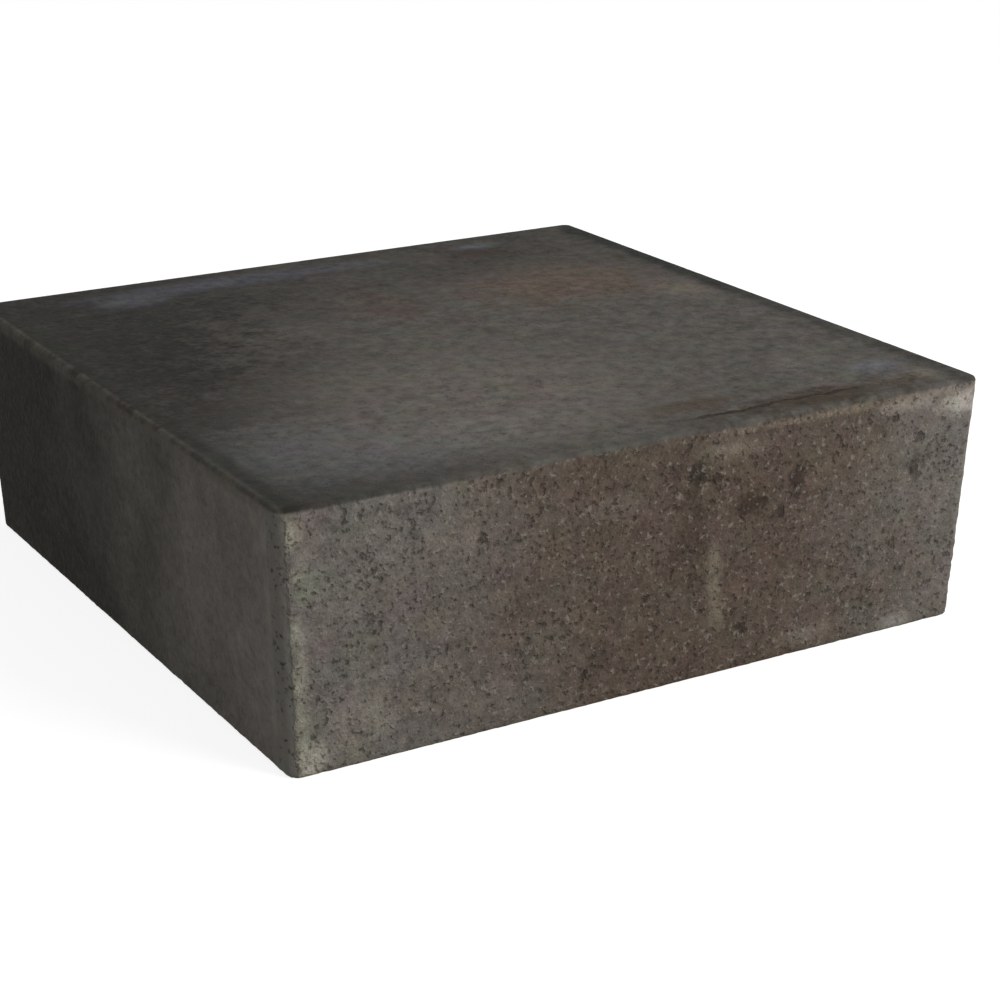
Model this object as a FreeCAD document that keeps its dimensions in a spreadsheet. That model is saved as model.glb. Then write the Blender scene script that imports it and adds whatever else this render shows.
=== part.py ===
"""Concrete step block: one solid cast block, square in plan and three times as wide as it is high.

The walls draw in a little towards the underside, the four upright corners are rounded, and the edges of the
tread and of the underside are eased. The origin is the centre of the underside, with +Z up, +X along the
riser and +Y towards the back of the tread. All sizes are in millimetres.
"""

import FreeCAD, Part
import Sketcher
import os

NODE = "step_block"

# alias, value, what it measures
SIZES = [
    ("block_length", 457.0, "tread along the riser, before its edge is eased"),
    ("block_depth", 457.0, "tread from riser to back, before its edge is eased"),
    ("block_height", 152.0, "rise"),
    ("wall_draw", 6.0, "how far each wall draws in from tread to underside"),
    ("corner_radius", 8.0, "four upright corners"),
    ("tread_arris", 4.0, "radius round the edge of the tread"),
    ("base_arris", 1.5, "radius round the edge of the underside"),
]

FLAT = 1e-6  # two heights closer than this are the same height


def make_sheet(doc):
    """Spreadsheet of the driving sizes, one alias each."""
    sheet = doc.addObject("Spreadsheet::Sheet", "sizes")
    for row, (alias, value, note) in enumerate(SIZES, start=1):
        sheet.set(f"A{row}", note)
        sheet.set(f"B{row}", str(value))
        sheet.setAlias(f"B{row}", alias)
    doc.recompute()
    return sheet


def draw_outline(body):
    """Rectangle centred on the origin, its two sides bound to the length and depth of the tread."""
    sketch = body.newObject("Sketcher::SketchObject", "outline")
    ground = next(f for f in body.Origin.OriginFeatures if f.Role == "XY_Plane")
    sketch.AttachmentSupport = (ground, [""])
    sketch.MapMode = "FlatFace"

    half = 200
    corners = [(-half, -half), (half, -half), (half, half), (-half, half)]
    points = [FreeCAD.Vector(x, y, 0) for x, y in corners]
    for start, end in zip(points, points[1:] + points[:1]):
        sketch.addGeometry(Part.LineSegment(start, end), False)

    front, right, back, left = range(4)
    start, end = 1, 2
    origin_point = (-1, 1)
    for line, following in ((front, right), (right, back), (back, left), (left, front)):
        sketch.addConstraint(Sketcher.Constraint("Coincident", line, end, following, start))
    for line in (front, back):
        sketch.addConstraint(Sketcher.Constraint("Horizontal", line))
    for line in (right, left):
        sketch.addConstraint(Sketcher.Constraint("Vertical", line))
    sketch.addConstraint(Sketcher.Constraint("Symmetric", front, start, right, end, *origin_point))

    length = sketch.addConstraint(Sketcher.Constraint("DistanceX", front, start, front, end, 2 * half))
    depth = sketch.addConstraint(Sketcher.Constraint("DistanceY", right, start, right, end, 2 * half))
    sketch.setExpression(f"Constraints[{length}]", "sizes.block_length")
    sketch.setExpression(f"Constraints[{depth}]", "sizes.block_depth")
    return sketch


def lies_at(height):
    """Test for an edge or a face that lies flat at this height."""
    return lambda part: all(abs(v.Point.z - height) < FLAT for v in part.Vertexes)


def rises(part):
    """Test for an edge or a face that runs from the underside to the tread."""
    heights = [v.Point.z for v in part.Vertexes]
    lowest_rise = 0.5 * max(heights)
    return max(heights) - min(heights) > lowest_rise


def names(kind, parts, test):
    """Names, such as Edge3, of the parts that pass a test."""
    return [f"{kind}{i}" for i, part in enumerate(parts, start=1) if test(part)]


def draw_in_walls(body, pad, height):
    """Draft on the four walls. The tread keeps its size and the underside becomes smaller."""
    walls = body.newObject("PartDesign::Draft", "drawn_in_walls")
    walls.Base = (pad, names("Face", pad.Shape.Faces, rises))
    walls.NeutralPlane = (pad, names("Face", pad.Shape.Faces, lies_at(height)))
    walls.Reversed = True
    walls.setExpression("Angle", "atan(sizes.wall_draw / sizes.block_height)")
    body.Document.recompute()
    return walls


def round_edges(body, name, base, test, radius):
    """Fillet on the edges of the feature before it that pass the test, with its radius from the sheet."""
    fillet = body.newObject("PartDesign::Fillet", name)
    fillet.Base = (base, names("Edge", base.Shape.Edges, test))
    fillet.setExpression("Radius", f"sizes.{radius}")
    body.Document.recompute()
    return fillet


def make_block(doc, sheet):
    """The block: a pad with drafted walls, then its upright corners and its two rims are rounded."""
    body = doc.addObject("PartDesign::Body", NODE)
    body.Label = NODE
    body.Placement = FreeCAD.Placement()

    outline = draw_outline(body)
    pad = body.newObject("PartDesign::Pad", "block")
    pad.Profile = outline
    pad.setExpression("Length", "sizes.block_height")
    doc.recompute()

    walls = draw_in_walls(body, pad, sheet.block_height)
    corners = round_edges(body, "upright_corners", walls, rises, "corner_radius")
    tread = round_edges(body, "tread_edge", corners, lies_at(sheet.block_height), "tread_arris")
    base = round_edges(body, "base_edge", tread, lies_at(0), "base_arris")
    body.Tip = base
    doc.recompute()
    return body


def check(doc, body):
    """Stops on a failed object or a body that isn't one sound solid, and prints its real size."""
    failed = [o.Name for o in doc.Objects if {"Invalid", "Error"} & set(o.State)]
    if failed:
        raise RuntimeError(f"objects failed to compute: {failed}")
    shape = body.Shape
    if shape.isNull() or not shape.isValid() or len(shape.Solids) != 1:
        raise RuntimeError("the block isn't one valid solid")
    box = shape.optimalBoundingBox(True, False)
    print(f"{NODE}: {box.XLength:.2f} x {box.YLength:.2f} x {box.ZLength:.2f} mm")
    print(f"{NODE}: {shape.Volume / 1e9:.6f} cubic metres")


def main():
    doc = FreeCAD.newDocument("concrete_step_block")
    sheet = make_sheet(doc)
    body = make_block(doc, sheet)
    check(doc, body)
    os.makedirs("parts", exist_ok=True)
    body.Shape.exportStep(os.path.join("parts", f"{body.Label}.step"))


main()
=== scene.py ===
# %% [markdown]
# # A concrete step block
#
# The real object is one lump of concrete, rammed nearly dry into a steel mould and pushed out again straight
# away. The walls that rubbed along the mould keep an open, crumbly grain. The upper face was struck off and
# trowelled, so it is much smoother. This lesson makes that block in Blender around its CAD part: first the
# lump, then its relief, then its colour, and last the light and the camera.

# %% Load the CAD part
import math

import bpy
import numpy as np
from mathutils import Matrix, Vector


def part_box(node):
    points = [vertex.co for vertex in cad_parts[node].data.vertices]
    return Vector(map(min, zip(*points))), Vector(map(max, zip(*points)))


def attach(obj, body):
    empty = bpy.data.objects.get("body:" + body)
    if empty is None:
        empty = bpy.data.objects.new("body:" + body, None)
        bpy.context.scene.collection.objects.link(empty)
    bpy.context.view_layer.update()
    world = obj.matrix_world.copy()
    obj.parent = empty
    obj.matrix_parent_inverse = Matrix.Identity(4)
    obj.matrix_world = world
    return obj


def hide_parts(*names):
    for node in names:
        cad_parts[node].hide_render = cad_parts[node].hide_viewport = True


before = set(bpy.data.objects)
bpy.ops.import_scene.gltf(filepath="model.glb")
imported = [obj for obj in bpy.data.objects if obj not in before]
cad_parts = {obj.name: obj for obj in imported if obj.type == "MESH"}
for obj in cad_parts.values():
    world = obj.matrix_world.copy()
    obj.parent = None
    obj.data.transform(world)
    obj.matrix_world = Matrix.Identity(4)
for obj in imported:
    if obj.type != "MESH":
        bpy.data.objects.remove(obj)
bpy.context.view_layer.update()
low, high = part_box("step_block")
LENGTH, DEPTH, HEIGHT = high - low
print(f"the block is {LENGTH:.4f} long, {DEPTH:.4f} deep and {HEIGHT:.4f} high, in metres")

# %% [markdown]
# ## The lump
#
# A mould for such a block is a plain box with rounded corners that draws in a little towards the underside.
# So the lump starts as a cube of the right size. Its lower face is scaled in, its four upright edges get a
# wide bevel and its rims a narrow one. That is how it would be drawn by hand, and it gives clean arrises.

# %% Sizes of the mould
WALL_DRAW = 0.006
CORNER_RADIUS = 0.008
TREAD_ARRIS = 0.004
BASE_ARRIS = 0.0015


# %% Helpers for choosing edges and faces
def begin_editing(piece):
    """Makes the piece the only selected object, clears its selection in edit mode and goes back to object mode."""
    bpy.ops.object.select_all(action="DESELECT")
    bpy.context.view_layer.objects.active = piece
    piece.select_set(True)
    bpy.ops.object.mode_set(mode="EDIT")
    bpy.ops.mesh.select_all(action="DESELECT")
    bpy.ops.object.mode_set(mode="OBJECT")


def select_edges(piece, test):
    """Selects the edges whose two ends pass a test, and goes to edit mode."""
    begin_editing(piece)
    bpy.context.tool_settings.mesh_select_mode = (False, True, False)
    corners = piece.data.vertices
    chosen = 0
    for edge in piece.data.edges:
        start, end = (corners[i].co for i in edge.vertices)
        edge.select = test(start, end)
        chosen += edge.select
    bpy.ops.object.mode_set(mode="EDIT")
    return chosen


FLAT = 1e-5  # two heights closer than this are the same height


def at_height(z):
    """Test for an edge that lies flat at height z."""
    return lambda start, end: abs(start.z - z) < FLAT and abs(end.z - z) < FLAT


def rises(start, end):
    """Test for an edge that runs up a corner of the block."""
    return abs(start.z - end.z) > 0.5 * HEIGHT


# %% Model the lump
bpy.ops.object.select_all(action="DESELECT")
bpy.ops.mesh.primitive_cube_add(size=1, location=(0, 0, HEIGHT / 2), scale=(LENGTH, DEPTH, HEIGHT))
bpy.ops.object.transform_apply(location=True, rotation=True, scale=True)
block = bpy.context.object
block.name = "cast_block"

select_edges(block, at_height(0))
draw_in = (1 - 2 * WALL_DRAW / LENGTH, 1 - 2 * WALL_DRAW / DEPTH, 1)
bpy.ops.transform.resize(value=draw_in, center_override=(0, 0, 0))
bpy.ops.object.mode_set(mode="OBJECT")

for test, radius, segments in (
    (rises, CORNER_RADIUS, 8),
    (at_height(HEIGHT), TREAD_ARRIS, 4),
    (at_height(0), BASE_ARRIS, 2),
):
    count = select_edges(block, test)
    bpy.ops.mesh.bevel(offset=radius, segments=segments, profile=0.5, affect="EDGES")
    bpy.ops.object.mode_set(mode="OBJECT")
    print(f"bevelled {count} edges by {1000 * radius:.1f} mm")

# %% [markdown]
# ## An even skin to work on
#
# Relief needs many small faces of one size. The Remesh modifier lays a skin of small squares over the lump
# and follows its arrises to within a face. A subdivided cube would have long thin faces beside the bevels instead.


# %% Cover the lump with small faces
def apply_modifier(piece, kind, **settings):
    """Adds one modifier with these settings and applies it."""
    bpy.ops.object.select_all(action="DESELECT")
    bpy.context.view_layer.objects.active = piece
    piece.select_set(True)
    modifier = piece.modifiers.new(kind.lower(), kind)
    for name, value in settings.items():
        setattr(modifier, name, value)
    bpy.ops.object.modifier_apply(modifier=modifier.name)


SKIN_FACE = 0.0014
apply_modifier(block, "REMESH", mode="VOXEL", voxel_size=SKIN_FACE)
print(f"the skin has {len(block.data.polygons)} faces")

# %% [markdown]
# ## Where the relief goes
#
# A vertex group says how strongly a modifier acts at each point. The direction a point faces tells which
# face of the block it is on, so the weights come from the normals: full on the open-grained walls, faint on
# the slick wall and on the trowelled tread. A second group holds only the arrises, found as the places
# that face between two directions, because that is where a block gets knocked.


# %% Weights for each face and for the arrises
def points_and_normals(piece):
    """Places and directions of all vertices, as two arrays."""
    count = len(piece.data.vertices)
    places = np.empty(3 * count)
    normals = np.empty(3 * count)
    piece.data.vertices.foreach_get("co", places)
    piece.data.vertices.foreach_get("normal", normals)
    return places.reshape(-1, 3), normals.reshape(-1, 3)


def paint_group(piece, name, weights, steps=40):
    """Vertex group from an array of weights between 0 and 1, rounded to a number of steps."""
    group = piece.vertex_groups.new(name=name)
    levels = np.rint(np.clip(weights, 0, 1) * steps).astype(int)
    for level in range(1, steps + 1):
        chosen = np.nonzero(levels == level)[0].tolist()
        if chosen:
            group.add(chosen, level / steps, "REPLACE")
    print(f"{name}: mean weight {np.clip(weights, 0, 1).mean():.3f}")


places, normals = points_and_normals(block)
facing = normals**2
towards_left = np.where(normals[:, 0] < 0, facing[:, 0], 0)
towards_right = np.where(normals[:, 0] > 0, facing[:, 0], 0)
towards_front = np.where(normals[:, 1] < 0, facing[:, 1], 0)
towards_back = np.where(normals[:, 1] > 0, facing[:, 1], 0)
upwards = np.where(normals[:, 2] > 0, facing[:, 2], 0)
downwards = np.where(normals[:, 2] < 0, facing[:, 2], 0)

open_grain = towards_front + towards_right + towards_back
slick = towards_left
grain = 1.0 * open_grain + 0.28 * slick + 0.12 * upwards + 0.3 * downwards
arris = np.clip(2 * (1 - (facing**2).sum(axis=1)) - 0.15, 0, 1)

paint_group(block, "grain", grain)
paint_group(block, "pits", 1.0 * open_grain + 0.35 * slick + 0.06 * upwards + 0.3 * downwards)
paint_group(block, "arris", arris)

# %% [markdown]
# ## Relief
#
# Five Displace modifiers press the skin inwards. A slow wave takes off the machine flatness. Two sizes of
# fine clouds make the crumbly grain. Round cells, pressed in at their middle, make the pits where a pebble
# fell out or air was caught. The last one eats into the arrises.


# %% Press in the wave, the grain, the pits and the chipped arrises
def cloud_texture(name, size, depth, contrast=1.0):
    """Soft noise whose lumps are about this size, in metres."""
    texture = bpy.data.textures.new(name, "CLOUDS")
    texture.noise_scale = size
    texture.noise_depth = depth
    texture.contrast = contrast
    return texture


def pit_texture(name, size, width):
    """Round cells of about this size, dark in the middle. Width is the pit's share of its cell."""
    texture = bpy.data.textures.new(name, "VORONOI")
    texture.noise_scale = size
    texture.use_color_ramp = True
    texture.color_ramp.elements[0].color = (0, 0, 0, 1)
    texture.color_ramp.elements[1].color = (1, 1, 1, 1)
    texture.color_ramp.elements[1].position = width
    return texture


RELIEF = (
    # texture, how deep it presses, group
    (cloud_texture("slow_wave", 0.07, 1), 0.0005, "grain"),
    (cloud_texture("coarse_grain", 0.0045, 3, 1.2), 0.0005, "grain"),
    (cloud_texture("crumb", 0.0026, 2, 1.4), 0.0005, "grain"),
    (pit_texture("round_pits", 0.0085, 0.30), 0.0013, "pits"),
    (cloud_texture("knocks", 0.009, 3, 1.3), 0.0009, "arris"),
)
for texture, depth, group in RELIEF:
    apply_modifier(
        block,
        "DISPLACE",
        texture=texture,
        texture_coords="LOCAL",
        direction="NORMAL",
        mid_level=1.0,
        strength=depth,
        vertex_group=group,
    )
    print(f"{texture.name}: up to {1000 * depth:.1f} mm deep on {group}")

# %% [markdown]
# Pressing in has taken a little off the size. The block is scaled back about its own middle, so that its
# proudest grains touch the planes of the mould again. Thinning comes after this and moves a few points by
# some hundredths of a millimetre.


# %% Bring the block back to its size
def extent(piece):
    """Lowest and highest corner of a mesh."""
    places, _ = points_and_normals(piece)
    return Vector(places.min(axis=0)), Vector(places.max(axis=0))


begin_editing(block)
lowest, highest = extent(block)
regain = [(high[i] - low[i]) / (highest[i] - lowest[i]) for i in range(3)]
bpy.ops.object.mode_set(mode="EDIT")
bpy.ops.mesh.select_all(action="SELECT")
bpy.ops.transform.translate(value=(low + high) / 2 - (lowest + highest) / 2)
bpy.ops.transform.resize(value=regain, center_override=(low + high) / 2)
bpy.ops.object.mode_set(mode="OBJECT")
print("scaled by", [round(factor, 4) for factor in regain])

# %% [markdown]
# ## Fewer faces
#
# The flat tread doesn't need small faces and the crumbly walls do. Decimate takes faces away first where
# they lie in one plane, so what is left is spent on the grain and the arrises.

# %% Thin the mesh and shade it smooth
MOST_TRIANGLES = 190_000
triangles = sum(len(face.vertices) - 2 for face in block.data.polygons)
apply_modifier(block, "DECIMATE", ratio=MOST_TRIANGLES / triangles, use_collapse_triangulate=True)
block.vertex_groups.clear()
bpy.ops.object.shade_smooth()
print(f"{triangles} triangles thinned to {len(block.data.polygons)}")

# %% [markdown]
# ## The finish of the concrete
#
# One material covers the block, because it is one pour. What differs from face to face is how the mould or
# the trowel left it. So each kind of face gets a cell that builds its colour, and masks made from Object
# coordinates choose between them. Everything is built from noise and distances, so it stays sharp at any
# view and needs no picture.

# %% Start the material
concrete = bpy.data.materials.new("dry_cast_concrete")
concrete.use_nodes = True
tree = concrete.node_tree
shader = tree.nodes["Principled BSDF"]
place = tree.nodes.new("ShaderNodeTexCoord").outputs["Object"]


# %% Helpers that add one node each
def colour(red, green, blue):
    """Colour written as on a screen, from 0 to 255, made linear."""
    screen = (value / 255 for value in (red, green, blue))
    linear = [v / 12.92 if v <= 0.04045 else ((v + 0.055) / 1.055) ** 2.4 for v in screen]
    return (*linear, 1.0)


def add_node(kind, inputs=(), **settings):
    """Adds a node. Each input is a number, a colour or the output of another node."""
    new = tree.nodes.new(kind)
    for name, value in settings.items():
        setattr(new, name, value)
    for socket, value in dict(inputs).items():
        if isinstance(value, bpy.types.NodeSocket):
            tree.links.new(value, new.inputs[socket])
        else:
            new.inputs[socket].default_value = value
    return new


def calculate(operation, *values):
    """One Math node."""
    return add_node("ShaderNodeMath", enumerate(values), operation=operation).outputs[0]


def calculate_vector(operation, *values, output="Vector"):
    """One Vector Math node."""
    return add_node("ShaderNodeVectorMath", enumerate(values), operation=operation).outputs[output]


def ramp(value, start, end, first=0.0, last=1.0):
    """Goes smoothly from first to last as the value goes from start to end. Start may be the larger one."""
    if start > end:
        start, end, first, last = end, start, last, first
    inputs = {0: value, 1: start, 2: end, 3: first, 4: last}
    return add_node("ShaderNodeMapRange", inputs, interpolation_type="SMOOTHSTEP").outputs[0]


def mix(amount, first, second, way="MIX"):
    """Mixes two colours."""
    inputs = {0: amount, 6: first, 7: second}
    new = add_node("ShaderNodeMix", inputs, data_type="RGBA", blend_type=way)
    return new.outputs[2]


def moved(shift):
    """The place on the block, moved so that two patterns don't line up."""
    return calculate_vector("ADD", place, (shift, 0.7 * shift, 0.4 * shift))


def lumps(size, detail=2.0, roughness=0.5, shift=0.0):
    """Noise between 0 and 1 with lumps of about this size, in metres."""
    inputs = {"Vector": moved(shift), "Scale": 1 / size, "Detail": detail, "Roughness": roughness}
    return add_node("ShaderNodeTexNoise", inputs).outputs[0]


def cells(size, shift=0.0):
    """Distance to the nearest of many scattered points about this far apart, and that point's own colour."""
    new = add_node("ShaderNodeTexVoronoi", {"Vector": moved(shift), "Scale": 1 / size})
    return new.outputs["Distance"], new.outputs["Color"]


def one_channel(point_colour):
    """The red part of a colour, used as a chance between 0 and 1 for each cell."""
    return add_node("ShaderNodeSeparateColor", {0: point_colour}).outputs[0]


def swing(noise, amount):
    """Noise between 0 and 1 made to swing about zero, by this amount from end to end."""
    return calculate("MULTIPLY", calculate("SUBTRACT", noise, 0.5), amount)


# %% [markdown]
# ## Knowing which face is which
#
# The walls lean in by a few millimetres, so the distance to a wall is the coordinate with that lean taken
# off. Small noise is added to distances, because a boundary between two finishes is never a ruled line.

# %% Distances to the faces and the masks made from them
axes = add_node("ShaderNodeSeparateXYZ", {0: place})
x, y, z = axes.outputs
lean = ramp(z, 0, HEIGHT, WALL_DRAW, 0)
lean.node.interpolation_type = "LINEAR"
from_left = calculate("ADD", x, calculate("SUBTRACT", LENGTH / 2, lean))
from_front = calculate("ADD", y, calculate("SUBTRACT", DEPTH / 2, lean))
from_right = calculate("SUBTRACT", calculate("SUBTRACT", LENGTH / 2, lean), x)
from_back = calculate("SUBTRACT", calculate("SUBTRACT", DEPTH / 2, lean), y)
from_tread = calculate("SUBTRACT", HEIGHT, z)

edge_waver = swing(lumps(0.005, 3), 0.004)
LEFT_BOUNDARY = 0.0042
SOFTNESS = 0.0008
is_slick = ramp(calculate("ADD", from_left, edge_waver), LEFT_BOUNDARY + SOFTNESS, LEFT_BOUNDARY - SOFTNESS)
is_tread = ramp(calculate("ADD", from_tread, calculate("MULTIPLY", edge_waver, 0.35)), 0.0035, 0.0015)
print(f"the slick finish ends {1000 * LEFT_BOUNDARY:.1f} mm from the left wall")

# %% [markdown]
# ## Grain
#
# Dry-cast concrete is sand and small gravel held by a thin paste. Close up, it is a salt-and-pepper of light
# stones, dark hollows between them and paste of a middle tone. Four sizes of noise make the middle tones.
# The stones and the hollows are the highest parts of two more noises. Scattered cells, of which only some
# are used, make the few big hollows, so they don't look sown. All the hollows are painted dark, as painted
# shade inside them.

# %% Grain, light stones and dark hollows
sand = lumps(0.0016, 2, 0.6)
grit = lumps(0.0042, 3, 0.6, shift=0.31)
blotchy = lumps(0.008, 2, 0.5, shift=0.44)
cloudy = lumps(0.016, 3, 0.55, shift=0.57)
broad = lumps(0.075, 3, 0.5, shift=0.83)

is_stone = ramp(lumps(0.0034, 2, 0.55, shift=0.2), 0.56, 0.72)
open_patches = ramp(lumps(0.030, 2, 0.5, shift=1.1), 0.30, 0.70, 0.045, -0.03)
hollow_noise = calculate("SUBTRACT", lumps(0.0034, 1.6, 0.5, shift=0.9), open_patches)
is_hollow = ramp(hollow_noise, 0.54, 0.74)
big_hollow_distance, big_hollow_colour = cells(0.021, shift=1.7)
big_hollow_edge = calculate("ADD", big_hollow_distance, calculate("MULTIPLY", grit, 0.5))
is_big_hollow = calculate(
    "MULTIPLY", ramp(big_hollow_edge, 0.46, 0.34), ramp(one_channel(big_hollow_colour), 0.60, 0.70)
)


def grained(base, fine, coarse):
    """Darkens and lightens a colour. Fine is the share of sand and grit, coarse that of the blotches."""
    tone = 1.0
    for value, amount in ((sand, 0.9 * fine), (grit, 0.9 * fine), (cloudy, coarse), (blotchy, coarse)):
        tone = calculate("ADD", tone, swing(value, amount))
    all_channels = add_node("ShaderNodeCombineXYZ", {0: tone, 1: tone, 2: tone}).outputs[0]
    return calculate_vector("MULTIPLY", base, all_channels)


# %% [markdown]
# ## Stains and patches of painted light and shade
#
# Lime that washes out of damp concrete dries as pale patches, a drip leaves a streak, and handling leaves
# bright scuffs at the corners. On the tread the same patches also lay painted light and painted shade. Each
# patch is a soft ellipsoid with a ragged edge. Its place is written in shares of the block's length, depth
# and height, so that it can be moved by thinking about the block.

# %% A helper for one stain or patch of painted light
ragged = calculate("ADD", swing(cloudy, 1.6), swing(grit, 1.1))


def stain_or_light_patch(base, centre, reach, tint, strength, raggedness=1.0):
    """Lays a ragged patch over a colour. Centre is in shares of the block, reach in millimetres."""
    middle = ((centre[0] - 0.5) * LENGTH, (centre[1] - 0.5) * DEPTH, centre[2] * HEIGHT)
    shrink = tuple(1000 / size for size in reach)
    offset = calculate_vector("MULTIPLY", calculate_vector("SUBTRACT", place, middle), shrink)
    distance = calculate_vector("LENGTH", offset, output="Value")
    rough_distance = calculate("ADD", distance, calculate("MULTIPLY", ragged, raggedness))
    amount = calculate("MULTIPLY", ramp(rough_distance, 1.15, 0.35), strength)
    return mix(amount, base, tint)


# %% [markdown]
# ## The riser
#
# The riser is the open-grained wall. It is warm brown-grey in its middle and cooler and paler towards both
# ends, with a pale drip a little right of the middle and lime along its left end.

# %% Colour of the open-grained walls
brown = colour(82, 71, 62)
grey = colour(101, 96, 90)
along = ramp(x, -0.52 * LENGTH, 0.08 * LENGTH)
along_back = ramp(x, 0.54 * LENGTH, 0.16 * LENGTH)
warmth = calculate("MULTIPLY", along, along_back)
warmth = calculate("ADD", calculate("MULTIPLY", warmth, 0.95), swing(broad, 0.9))
riser = mix(ramp(warmth, 0, 1), grey, brown)

FRONT = 0.0
OPEN_WALL_STAINS = (
    # centre in shares of the block, reach in mm, tint, strength
    ((0.590, FRONT, 0.42), (6, 30, 24), colour(124, 115, 99), 0.50),
    ((0.600, FRONT, 0.26), (6, 30, 16), colour(118, 109, 94), 0.45),
    ((0.610, FRONT, 0.90), (26, 30, 8), colour(112, 102, 88), 0.60),
    ((0.550, FRONT, 0.55), (16, 30, 44), colour(58, 48, 40), 0.50),
    ((0.640, FRONT, 0.66), (13, 30, 8), colour(52, 43, 37), 0.80),
    ((0.560, FRONT, 0.82), (9, 30, 10), colour(46, 40, 34), 0.80),
    ((0.710, FRONT, 0.74), (7, 30, 14), colour(50, 42, 36), 0.80),
    ((0.900, FRONT, 0.68), (9, 30, 9), colour(62, 56, 50), 0.70),
    ((0.035, FRONT, 0.74), (9, 30, 16), colour(113, 114, 99), 0.55),
    ((0.030, FRONT, 0.06), (20, 30, 14), colour(158, 154, 140), 0.90),
    ((0.100, FRONT, 0.16), (30, 30, 20), colour(124, 118, 108), 0.60),
    ((0.975, FRONT, 0.91), (26, 30, 10), colour(158, 152, 142), 0.90),
    ((0.890, FRONT, 0.94), (26, 30, 6), colour(132, 126, 116), 0.75),
    ((0.890, FRONT, 0.03), (16, 30, 7), colour(136, 132, 120), 0.70),
    ((0.740, FRONT, 0.08), (24, 30, 8), colour(116, 108, 96), 0.60),
    ((0.990, FRONT, 0.45), (8, 30, 60), colour(118, 114, 106), 0.60),
    ((0.200, FRONT, 0.76), (42, 30, 12), colour(112, 103, 94), 0.40),
    ((0.440, FRONT, 0.77), (24, 30, 10), colour(106, 98, 88), 0.40),
)
for centre, reach, tint, strength in OPEN_WALL_STAINS:
    riser = stain_or_light_patch(riser, centre, reach, tint, strength)

lime_edge = calculate("MULTIPLY", ramp(from_left, 0.016, 0.006), ramp(cloudy, 0.33, 0.62))
riser = mix(calculate("MULTIPLY", lime_edge, 0.9), riser, colour(138, 135, 121))
lip = calculate("MULTIPLY", ramp(from_tread, 0.0022, 0.0045), ramp(from_tread, 0.0085, 0.0055))
lip = calculate("MULTIPLY", lip, ramp(x, -0.02 * LENGTH, 0.16 * LENGTH))
riser = mix(calculate("MULTIPLY", lip, ramp(grit, 0.3, 0.6, 0.15, 0.55)), riser, colour(118, 106, 92))

riser = grained(riser, 1.0, 0.62)
hue = add_node("ShaderNodeTexNoise", {"Vector": place, "Scale": 1 / 0.022, "Detail": 3.0}).outputs["Color"]
riser = mix(0.11, riser, hue, way="OVERLAY")
riser = mix(calculate("MULTIPLY", is_stone, 0.55), riser, colour(132, 126, 116))
# Painted shade: the hollows and the big hollows are painted dark, as shade inside them.
riser = mix(calculate("MULTIPLY", is_hollow, 0.60), riser, colour(46, 41, 37))
riser = mix(calculate("MULTIPLY", is_big_hollow, 0.6), riser, colour(40, 34, 30))
print(f"open-grained walls: {len(OPEN_WALL_STAINS)} stains")

# %% [markdown]
# ## The slick wall
#
# One wall slid along the mould with more paste on it, so it is smooth and only faintly mottled. Its dark
# colour is partly its own and partly painted shade, and it is painted darker towards the back, as painted shade
# where the lamp's light falls off. Where it turns the front corner, it has a thin painted highlight, where a
# small ridge would catch the light, and then a pitted band.

# %% Colour of the slick wall
slick_shaded_back = colour(43, 41, 37)
slick_lit_front = colour(111, 107, 101)
# Painted shade: the wall is painted darker from the front towards the back, where the lamp's light falls off; the broad
# noise is its own tone.
near_front = ramp(y, 0.42 * DEPTH, -0.55 * DEPTH)
tone = calculate("ADD", calculate("MULTIPLY", near_front, 0.9), swing(broad, 0.9))
slick_wall = mix(ramp(tone, 0, 1), slick_shaded_back, slick_lit_front)
slick_wall = grained(slick_wall, 0.5, 0.5)
# Painted highlight: a thin pale strip where a small ridge would catch the light.
ridge_highlight = calculate("MULTIPLY", ramp(from_front, 0.0225, 0.0185), ramp(from_front, 0.0125, 0.0150))
ridge_highlight = calculate("MULTIPLY", ridge_highlight, ramp(cloudy, 0.3, 0.65, 0.15, 0.6))
slick_wall = mix(ridge_highlight, slick_wall, colour(124, 121, 112))
worn_top = calculate("MULTIPLY", ramp(from_tread, 0.0090, 0.0040), ramp(cloudy, 0.3, 0.6, 0.15, 0.6))
slick_wall = mix(worn_top, slick_wall, colour(92, 88, 80))
band = ramp(calculate("ADD", from_front, edge_waver), 0.0150, 0.0125)
slick_wall = mix(calculate("MULTIPLY", band, 0.70), slick_wall, colour(108, 105, 98))
# Painted shade: the hollows are painted dark, most of all in the pitted band at the corner.
hollow_depth = ramp(band, 0, 1, 0.16, 0.75)
slick_wall = mix(calculate("MULTIPLY", is_hollow, hollow_depth), slick_wall, colour(38, 36, 33))
print(f"slick wall made, {len(tree.nodes)} nodes so far")

# %% [markdown]
# ## The tread
#
# The tread is trowelled: grey-brown, with a darker border along the rim, browner towards the
# right and bluish where damp lime dried. It is painted lighter near the front and darker towards the left and
# the back, as painted light near the lamp and painted shade away from it. A dark mark, up to 8 mm wide,
# runs just inside the front edge.

# %% Colour of the tread
tread_grey = colour(88, 84, 79)
tread_shaded_left_back = colour(52, 50, 46)
# Painted shade: the tread is painted darker towards the left and the back, away from the lamp; the broad noise is its
# own tone.
tone = calculate("ADD", ramp(x, -0.55 * LENGTH, 0.02 * LENGTH), ramp(y, -0.05 * DEPTH, 0.5 * DEPTH, 0, -0.62))
tone = calculate("ADD", tone, swing(broad, 0.8))
tread = mix(ramp(tone, 0, 1), tread_shaded_left_back, tread_grey)

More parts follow.
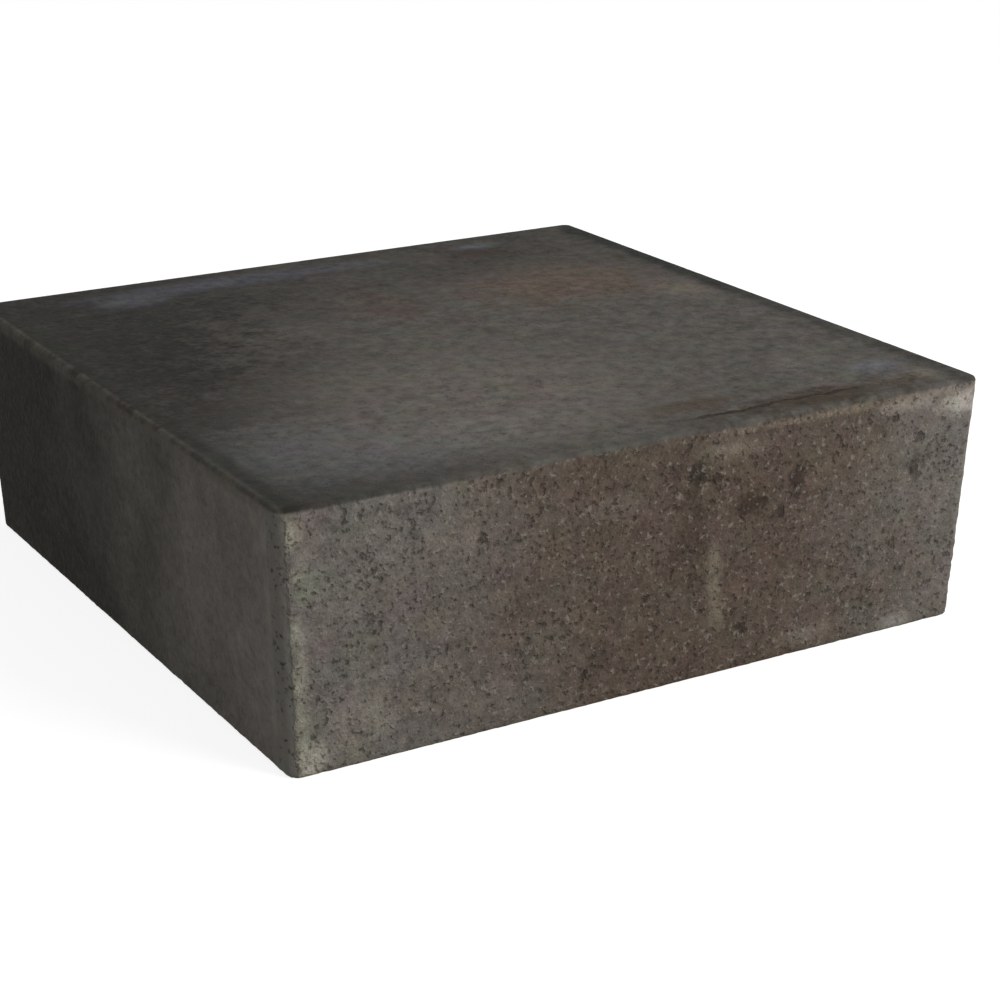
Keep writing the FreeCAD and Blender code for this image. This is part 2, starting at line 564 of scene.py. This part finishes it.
TOP = 1.0
TREAD_STAINS_AND_LIGHT = (
    # centre in shares of the block, reach in mm, tint, strength
    # The first three patches are painted shade on the far left corner.
    ((0.02, 0.97, TOP), (130, 110, 40), colour(42, 40, 37), 0.90),
    ((0.03, 0.68, TOP), (115, 145, 40), colour(40, 38, 36), 0.90),
    ((0.16, 0.82, TOP), (90, 40, 40), colour(46, 45, 42), 0.65),
    ((0.78, 0.68, TOP), (80, 60, 40), colour(98, 84, 74), 0.75),
    ((0.50, 0.70, TOP), (26, 50, 40), colour(84, 72, 66), 0.60),
    ((0.42, 0.24, TOP), (60, 40, 40), colour(90, 80, 75), 0.45),
    ((0.92, 0.56, TOP), (22, 34, 40), colour(112, 104, 94), 0.60),
    ((0.72, 0.39, TOP), (20, 12, 40), colour(104, 101, 98), 0.50),
    ((0.77, 0.89, TOP), (26, 20, 40), colour(62, 54, 47), 0.80),
    ((0.36, 0.935, TOP), (120, 17, 40), colour(80, 80, 86), 0.9),
    ((0.20, 0.90, TOP), (34, 18, 40), colour(86, 85, 90), 0.75),
    ((0.79, 0.94, TOP), (22, 11, 40), colour(100, 102, 106), 0.65),
    ((0.58, 0.93, TOP), (40, 14, 40), colour(84, 84, 86), 0.60),
    ((0.91, 0.11, TOP), (24, 14, 40), colour(104, 104, 110), 0.65),
    ((0.94, 0.05, TOP), (14, 10, 40), colour(122, 115, 104), 0.65),
    ((0.84, 0.17, TOP), (26, 18, 40), colour(106, 104, 100), 0.50),
    ((0.60, 0.09, TOP), (40, 13, 40), colour(74, 61, 51), 0.85),
    ((0.66, 0.045, TOP), (24, 5, 40), colour(118, 114, 102), 0.70),
    ((0.76, 0.05, TOP), (18, 7, 40), colour(104, 88, 78), 0.60),
    # This patch, the next one and the last one are painted light over the front of the tread.
    ((0.32, 0.14, TOP), (100, 44, 40), colour(108, 105, 101), 0.65),
    ((0.16, 0.16, TOP), (95, 75, 40), colour(97, 97, 97), 0.70),
    ((0.77, 0.035, TOP), (95, 17, 40), colour(70, 60, 49), 0.90),
    ((0.40, 0.25, TOP), (140, 110, 40), colour(105, 99, 93), 0.75),
)
for centre, reach, tint, strength in TREAD_STAINS_AND_LIGHT:
    tread = stain_or_light_patch(tread, centre, reach, tint, strength, raggedness=0.9)

rim_noise = swing(cloudy, 0.030)
from_sides = calculate("MINIMUM", from_left, from_right)
from_ends = calculate("MINIMUM", from_front, from_back)
from_rim = calculate("MINIMUM", from_sides, from_ends)
border = ramp(calculate("ADD", from_rim, rim_noise), 0.040, 0.004)
tread = mix(calculate("MULTIPLY", border, 0.32), tread, colour(62, 60, 55))
fine_rim_noise = calculate("MULTIPLY", rim_noise, 0.35)
# Painted shade: a dark strip along the left rim of the tread, where it is darker away from the lamp.
left_shade_strip = ramp(calculate("ADD", from_left, fine_rim_noise), 0.018, 0.010)
left_shade_strip = calculate("MULTIPLY", left_shade_strip, ramp(from_left, 0.003, 0.007, 0.25, 1.0))
tread = mix(calculate("MULTIPLY", left_shade_strip, 0.68), tread, colour(38, 38, 34))
worn_left = calculate("MULTIPLY", ramp(from_left, 0.0055, 0.0030), ramp(cloudy, 0.3, 0.6, 0.2, 0.75))
tread = mix(worn_left, tread, colour(86, 83, 75))
right_strip = ramp(calculate("ADD", from_right, fine_rim_noise), 0.020, 0.011)
right_strip = calculate("MULTIPLY", right_strip, ramp(y, -0.25 * DEPTH, 0.2 * DEPTH, 0.45, 0.95))
tread = mix(right_strip, tread, colour(40, 42, 38))

MARK_FROM_FRONT = 0.020
mark_wander = swing(lumps(0.035, 4, 0.6, shift=2.3), 0.022)
mark_distance = calculate("ABSOLUTE", calculate("SUBTRACT", calculate("ADD", from_front, mark_wander), MARK_FROM_FRONT))
mark_width = ramp(cloudy, 0.35, 0.60, 0.0008, 0.0040)
mark = ramp(calculate("DIVIDE", mark_distance, mark_width), 1.0, 0.3)
mark = calculate("MULTIPLY", mark, ramp(x, 0.00, 0.06))
mark = calculate("MULTIPLY", mark, ramp(x, 0.36 * LENGTH, 0.30 * LENGTH))
tread = mix(calculate("MULTIPLY", mark, 0.85), tread, colour(36, 31, 26))
tread = grained(tread, 0.5, 1.05)
tread = mix(0.13, tread, hue, way="OVERLAY")
# Painted shade: the hollows are painted a little darker.
tread = mix(calculate("MULTIPLY", is_hollow, 0.30), tread, colour(50, 47, 43))
print(f"tread: {len(TREAD_STAINS_AND_LIGHT)} stains")

# %% [markdown]
# ## Joining the finishes
#
# The masks choose between the three finishes. The surface is matt, and the hollows are rougher than the
# rubbed grains. Relief too fine for the mesh is added as bump, strong on the open walls and faint on the
# tread.

# %% Colour, roughness and bump of the whole block
finish = mix(is_slick, riser, slick_wall)
finish = mix(is_tread, finish, tread)
tree.links.new(finish, shader.inputs["Base Color"])

openness = calculate("SUBTRACT", 1.0, calculate("MULTIPLY", is_slick, 0.62))
openness = calculate("MULTIPLY", openness, calculate("SUBTRACT", 1.0, calculate("MULTIPLY", is_tread, 0.74)))
roughness = ramp(grit, 0.25, 0.75, 0.95, 0.82)
tree.links.new(roughness, shader.inputs["Roughness"])
shader.inputs["Specular IOR Level"].default_value = 0.12

relief = calculate("MULTIPLY", sand, 0.45)
relief = calculate("ADD", relief, calculate("MULTIPLY", grit, 0.8))
relief = calculate("ADD", relief, calculate("MULTIPLY", is_stone, 0.25))
relief = calculate("SUBTRACT", relief, calculate("MULTIPLY", is_hollow, 0.6))
relief = calculate("SUBTRACT", relief, calculate("MULTIPLY", is_big_hollow, 0.9))
relief = calculate("MULTIPLY", relief, openness)
relief = calculate("SUBTRACT", relief, calculate("MULTIPLY", calculate("MULTIPLY", mark, is_tread), 0.8))
bump = add_node("ShaderNodeBump", {"Height": relief, "Distance": 0.0016, "Strength": 0.8})
tree.links.new(bump.outputs[0], shader.inputs["Normal"])

block.data.materials.clear()
block.data.materials.append(concrete)
print(f"the material has {len(tree.nodes)} nodes")

# %% Tie the block to its CAD node
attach(block, "root")
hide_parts("step_block")

# %% [markdown]
# ## Floor and light
#
# The block stands on a plain white floor. The camera sees the floor nearly white, through Light Path, but
# the block gets only the light that a white floor throws back, and its shadow stays on the floor. One large
# soft lamp at the front gives the riser its light and leaves the left wall in shade.

# %% Helpers for the floor and the world
FLOOR_GREY = 0.62
SHOWN_GREY = 0.36
SHOWN_GLOW = 0.84


def seen_directly():
    """1 for a ray from the camera, or one that metal or glass sends on, and 0 for light that bounces."""
    paths = add_node("ShaderNodeLightPath").outputs
    shiny = calculate("MAXIMUM", paths["Is Glossy Ray"], paths["Is Transmission Ray"])
    return calculate("MAXIMUM", paths["Is Camera Ray"], shiny)


def matt_grey(level):
    """Matt paint of one grey."""
    return add_node("ShaderNodeBsdfDiffuse", {"Color": (level, level, level, 1)}).outputs[0]


# %% Floor
bpy.ops.object.select_all(action="DESELECT")
bpy.ops.mesh.primitive_plane_add(size=30, location=(0, 0, 0))
floor = bpy.context.object
floor.name = "floor"
floor_paint = bpy.data.materials.new("white_floor")
floor_paint.use_nodes = True
tree = floor_paint.node_tree
tree.nodes.clear()
seen = seen_directly()
plain = matt_grey(FLOOR_GREY)
shown = matt_grey(SHOWN_GREY)
glow = add_node("ShaderNodeEmission", {"Color": (1, 1, 1, 1), "Strength": SHOWN_GLOW}).outputs[0]
bright = add_node("ShaderNodeAddShader", {0: shown, 1: glow}).outputs[0]
floor_mix = add_node("ShaderNodeMixShader", {0: seen, 1: plain, 2: bright}).outputs[0]
add_node("ShaderNodeOutputMaterial", {"Surface": floor_mix})
floor.data.materials.append(floor_paint)
print(f"floor: {floor.name}")

# %% World and lamp
world = bpy.data.worlds.new("studio")
bpy.context.scene.world = world
world.use_nodes = True
tree = world.node_tree
tree.nodes.clear()
seen = seen_directly()
AMBIENT = 0.37
strength = ramp(seen, 0, 1, AMBIENT, 1.0)
glow = add_node("ShaderNodeBackground", {"Color": (1, 1, 1, 1), "Strength": strength}).outputs[0]
add_node("ShaderNodeOutputWorld", {"Surface": glow})

LAMP_DIRECTION = Vector((0.42, -0.78, 0.50)).normalized()
LAMP_DISTANCE = 3.0
LAMP_SIZE = 1.6
LAMP_POWER = 66
lamp_data = bpy.data.lights.new("soft_lamp", "AREA")
lamp_data.shape = "DISK"
lamp_data.size = LAMP_SIZE
lamp_data.energy = LAMP_POWER
lamp = bpy.data.objects.new("soft_lamp", lamp_data)
lamp.location = LAMP_DIRECTION * LAMP_DISTANCE + Vector((0, 0, HEIGHT / 2))
lamp.rotation_euler = LAMP_DIRECTION.to_track_quat("Z", "Y").to_euler()
bpy.context.collection.objects.link(lamp)
print(f"lamp: {LAMP_POWER} W, {LAMP_DISTANCE} m away")

# %% [markdown]
# ## Camera
#
# The camera looks down on the front left corner from about a metre and a half, with a longish lens, so the
# two walls and the tread all show and the uprights lean only a little.

# %% Camera
AZIMUTH, ELEVATION = math.radians(-30.58), math.radians(19.89)
AIM = Vector((0.0206, -0.0235, 0.0490))
CAMERA_DISTANCE = 1.468
CAMERA_LENS = 83.9
SENSOR_WIDTH = 36
towards_camera = Vector((
    math.sin(AZIMUTH) * math.cos(ELEVATION),
    -math.cos(AZIMUTH) * math.cos(ELEVATION),
    math.sin(ELEVATION),
))
camera_data = bpy.data.cameras.new("camera")
camera_data.lens = CAMERA_LENS
camera_data.sensor_width = SENSOR_WIDTH
camera = bpy.data.objects.new("camera", camera_data)
camera.location = AIM + towards_camera * CAMERA_DISTANCE
camera.rotation_euler = towards_camera.to_track_quat("Z", "Y").to_euler()
bpy.context.collection.objects.link(camera)
bpy.context.scene.camera = camera
bpy.context.scene.view_settings.view_transform = "Standard"
print(f"camera: {CAMERA_DISTANCE:.2f} m from its aim")
